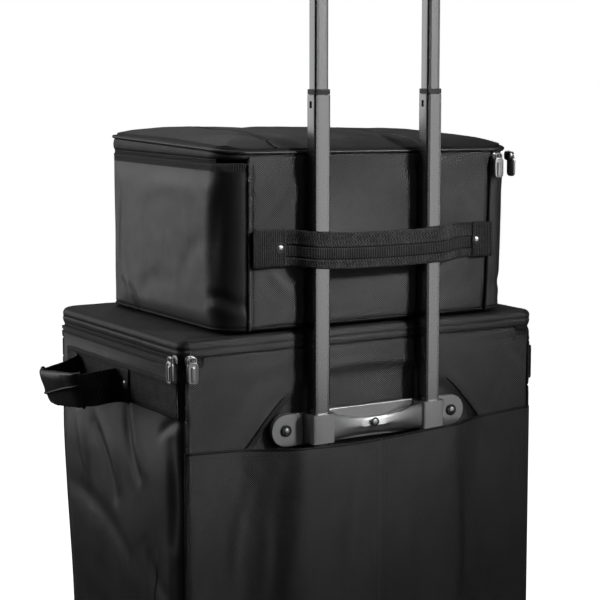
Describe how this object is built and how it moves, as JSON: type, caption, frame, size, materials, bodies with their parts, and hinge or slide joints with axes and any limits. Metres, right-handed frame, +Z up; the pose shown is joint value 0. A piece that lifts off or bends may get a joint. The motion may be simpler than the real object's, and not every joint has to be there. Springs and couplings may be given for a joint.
{
  "type": "wheeled equipment case",
  "caption": "Soft padded wheeled equipment case with a two-stage telescopic handle and a smaller padded bag strapped on top of its lid.",
  "frame": {"origin": "on the floor, at the centre of the bounding box in plan", "axes": "+Z up, +Y to the rear (handle side), +X to the left of someone standing behind the case"},
  "size_m": [0.592, 0.347, 1.143],
  "materials": {
    "case_fabric": "black twill",
    "lining": "brushed grey lining",
    "webbing": "black woven webbing",
    "aluminium_tube": "satin anodised",
    "steel_hardware": "polished nickel",
    "zip_metal": "gunmetal",
    "zip_tape": "black zip tape",
    "grey_moulding": "satin grey",
    "black_plastic": "fine texture",
    "tyre_rubber": "worn tread",
    "foot_rubber": "matte"
  },
  "bodies": {
    "case": {"case_shell": "case_fabric", "case_liner": "lining", "case_base_plate": "black_plastic", "case_rear_pocket": "case_fabric", "case_zip_chain": "zip_tape", "case_zip_slider_rear": "zip_metal", "guide_foot": "black_plastic", "handle_bracket": "grey_moulding", "bracket_screw_left": "steel_hardware", "bracket_screw_right": "steel_hardware", "bracket_screw_centre": "steel_hardware", "front_foot_left": "foot_rubber", "front_foot_right": "foot_rubber", "wheel_housing_left": "black_plastic", "wheel_housing_right": "black_plastic", "wheel_axle_left": "steel_hardware", "wheel_axle_right": "steel_hardware", "guide_tube_left": "aluminium_tube", "guide_tube_right": "aluminium_tube", "side_band_left": "webbing", "side_band_right": "webbing"},
    "case_lid": {"case_lid": "case_fabric"},
    "wheel_left": {"wheel_tyre_left": "tyre_rubber", "wheel_hub_left": "grey_moulding"},
    "wheel_right": {"wheel_tyre_right": "tyre_rubber", "wheel_hub_right": "grey_moulding"},
    "handle_stage1": {"stage1_tube_left": "aluminium_tube", "stage1_tube_right": "aluminium_tube", "stage1_glide_left": "black_plastic", "stage1_glide_right": "black_plastic", "stage1_collar_left": "black_plastic", "stage1_collar_right": "black_plastic"},
    "handle_stage2": {"grip_body": "black_plastic", "stage2_tube_left": "aluminium_tube", "stage2_tube_right": "aluminium_tube", "stage2_plug_left": "black_plastic", "stage2_plug_right": "black_plastic"},
    "grip_release": {"grip_button": "grey_moulding", "release_rod_left": "steel_hardware", "release_rod_right": "steel_hardware"},
    "lock_pin_left": {"lock_pin_left": "steel_hardware"},
    "lock_pin_right": {"lock_pin_right": "steel_hardware"},
    "side_handle_left": {"side_handle_left": "webbing"},
    "side_handle_right": {"side_handle_right": "webbing"},
    "case_slider_side": {"case_zip_slider_side": "zip_metal"},
    "case_tab_side": {"case_pull_tab_side": "zip_metal"},
    "case_tab_rear": {"case_pull_tab_rear": "zip_metal"},
    "bag": {"bag_shell": "case_fabric", "bag_liner": "lining", "bag_divider": "lining", "bag_zip_chain": "zip_tape", "bag_zip_slider_rear": "zip_metal", "bag_rear_strap": "webbing", "strap_rivet_left": "steel_hardware", "strap_rivet_right": "steel_hardware"},
    "bag_lid": {"bag_lid": "case_fabric"},
    "bag_slider_side": {"bag_zip_slider_side": "zip_metal"},
    "bag_tab_side": {"bag_pull_tab_side": "zip_metal"},
    "bag_tab_rear": {"bag_pull_tab_rear": "zip_metal"}
  },
  "joints": [
    {"name": "handle_stage1_slide", "type": "slide", "parent": "case", "child": "handle_stage1", "axis": [0, 0, -1], "range_m": [0, 0.335]},
    {"name": "handle_stage2_slide", "type": "slide", "parent": "handle_stage1", "child": "handle_stage2", "axis": [0, 0, -1], "range_m": [0, 0.29]},
    {"name": "grip_button_press", "type": "slide", "parent": "handle_stage2", "child": "grip_release", "axis": [0, 0, -1], "range_m": [0, 0.004], "stiffness_N_per_m": 1000, "springref_m": -0.004},
    {"name": "lock_pin_left_slide", "type": "slide", "parent": "handle_stage2", "child": "lock_pin_left", "axis": [-1, 0, 0], "range_m": [0, 0.0021]},
    {"name": "lock_pin_right_slide", "type": "slide", "parent": "handle_stage2", "child": "lock_pin_right", "axis": [-1, 0, 0], "range_m": [0, 0.0021]},
    {"name": "wheel_left_spin", "type": "hinge", "parent": "case", "child": "wheel_left", "pos_m": [0.212, 0.1315, 0.038], "axis": [1, 0, 0], "continuous": true},
    {"name": "wheel_right_spin", "type": "hinge", "parent": "case", "child": "wheel_right", "pos_m": [-0.212, 0.1315, 0.038], "axis": [1, 0, 0], "continuous": true},
    {"name": "bag_lift", "type": "slide", "parent": "case", "child": "bag", "axis": [0, 0, 1], "range_m": [0, 0.56]},
    {"name": "case_lid_hinge", "type": "hinge", "parent": "case", "child": "case_lid", "pos_m": [0, 0.1435, 0.54], "axis": [-1, 0, 0], "range_deg": [0, 80]},
    {"name": "bag_lid_hinge", "type": "hinge", "parent": "bag", "child": "bag_lid", "pos_m": [-0.01, 0.1435, 0.736], "axis": [-1, 0, 0], "range_deg": [0, 75]},
    {"name": "case_slider_slide", "type": "slide", "parent": "case", "child": "case_slider_side", "axis": [0, -1, 0], "range_m": [0, 0.27]},
    {"name": "case_tab_side_hinge", "type": "hinge", "parent": "case_slider_side", "child": "case_tab_side", "pos_m": [0.24265, 0.1345, 0.5211], "axis": [0, -1, 0], "range_deg": [0, 150]},
    {"name": "case_tab_rear_hinge", "type": "hinge", "parent": "case", "child": "case_tab_rear", "pos_m": [0.225, 0.15015, 0.5211], "axis": [1, 0, 0], "range_deg": [0, 150]},
    {"name": "bag_slider_slide", "type": "slide", "parent": "bag", "child": "bag_slider_side", "axis": [0, -1, 0], "range_m": [0, 0.22]},
    {"name": "bag_tab_side_hinge", "type": "hinge", "parent": "bag_slider_side", "child": "bag_tab_side", "pos_m": [-0.21065, 0.1295, 0.7251], "axis": [0, 1, 0], "range_deg": [0, 150]},
    {"name": "bag_tab_rear_hinge", "type": "hinge", "parent": "bag", "child": "bag_tab_rear", "pos_m": [-0.176, 0.15015, 0.7251], "axis": [1, 0, 0], "range_deg": [0, 150]},
    {"name": "side_handle_left_flex", "type": "hinge", "parent": "case", "child": "side_handle_left", "pos_m": [0.2383, -0.055, 0.474], "axis": [0, -1, 0], "range_deg": [-30, 30], "stiffness_Nm_per_rad": 0.5},
    {"name": "side_handle_right_flex", "type": "hinge", "parent": "case", "child": "side_handle_right", "pos_m": [-0.2383, -0.055, 0.474], "axis": [0, 1, 0], "range_deg": [-30, 30], "stiffness_Nm_per_rad": 0.5}
  ],
  "couplings": [
    {"joint": "lock_pin_left_slide", "follows": "grip_button_press", "ratio": 0.5},
    {"joint": "lock_pin_right_slide", "follows": "grip_button_press", "ratio": 0.5},
    {"joint": "case_lid_hinge", "follows": "bag_lift", "rad_per_m": 2.49}
  ]
}
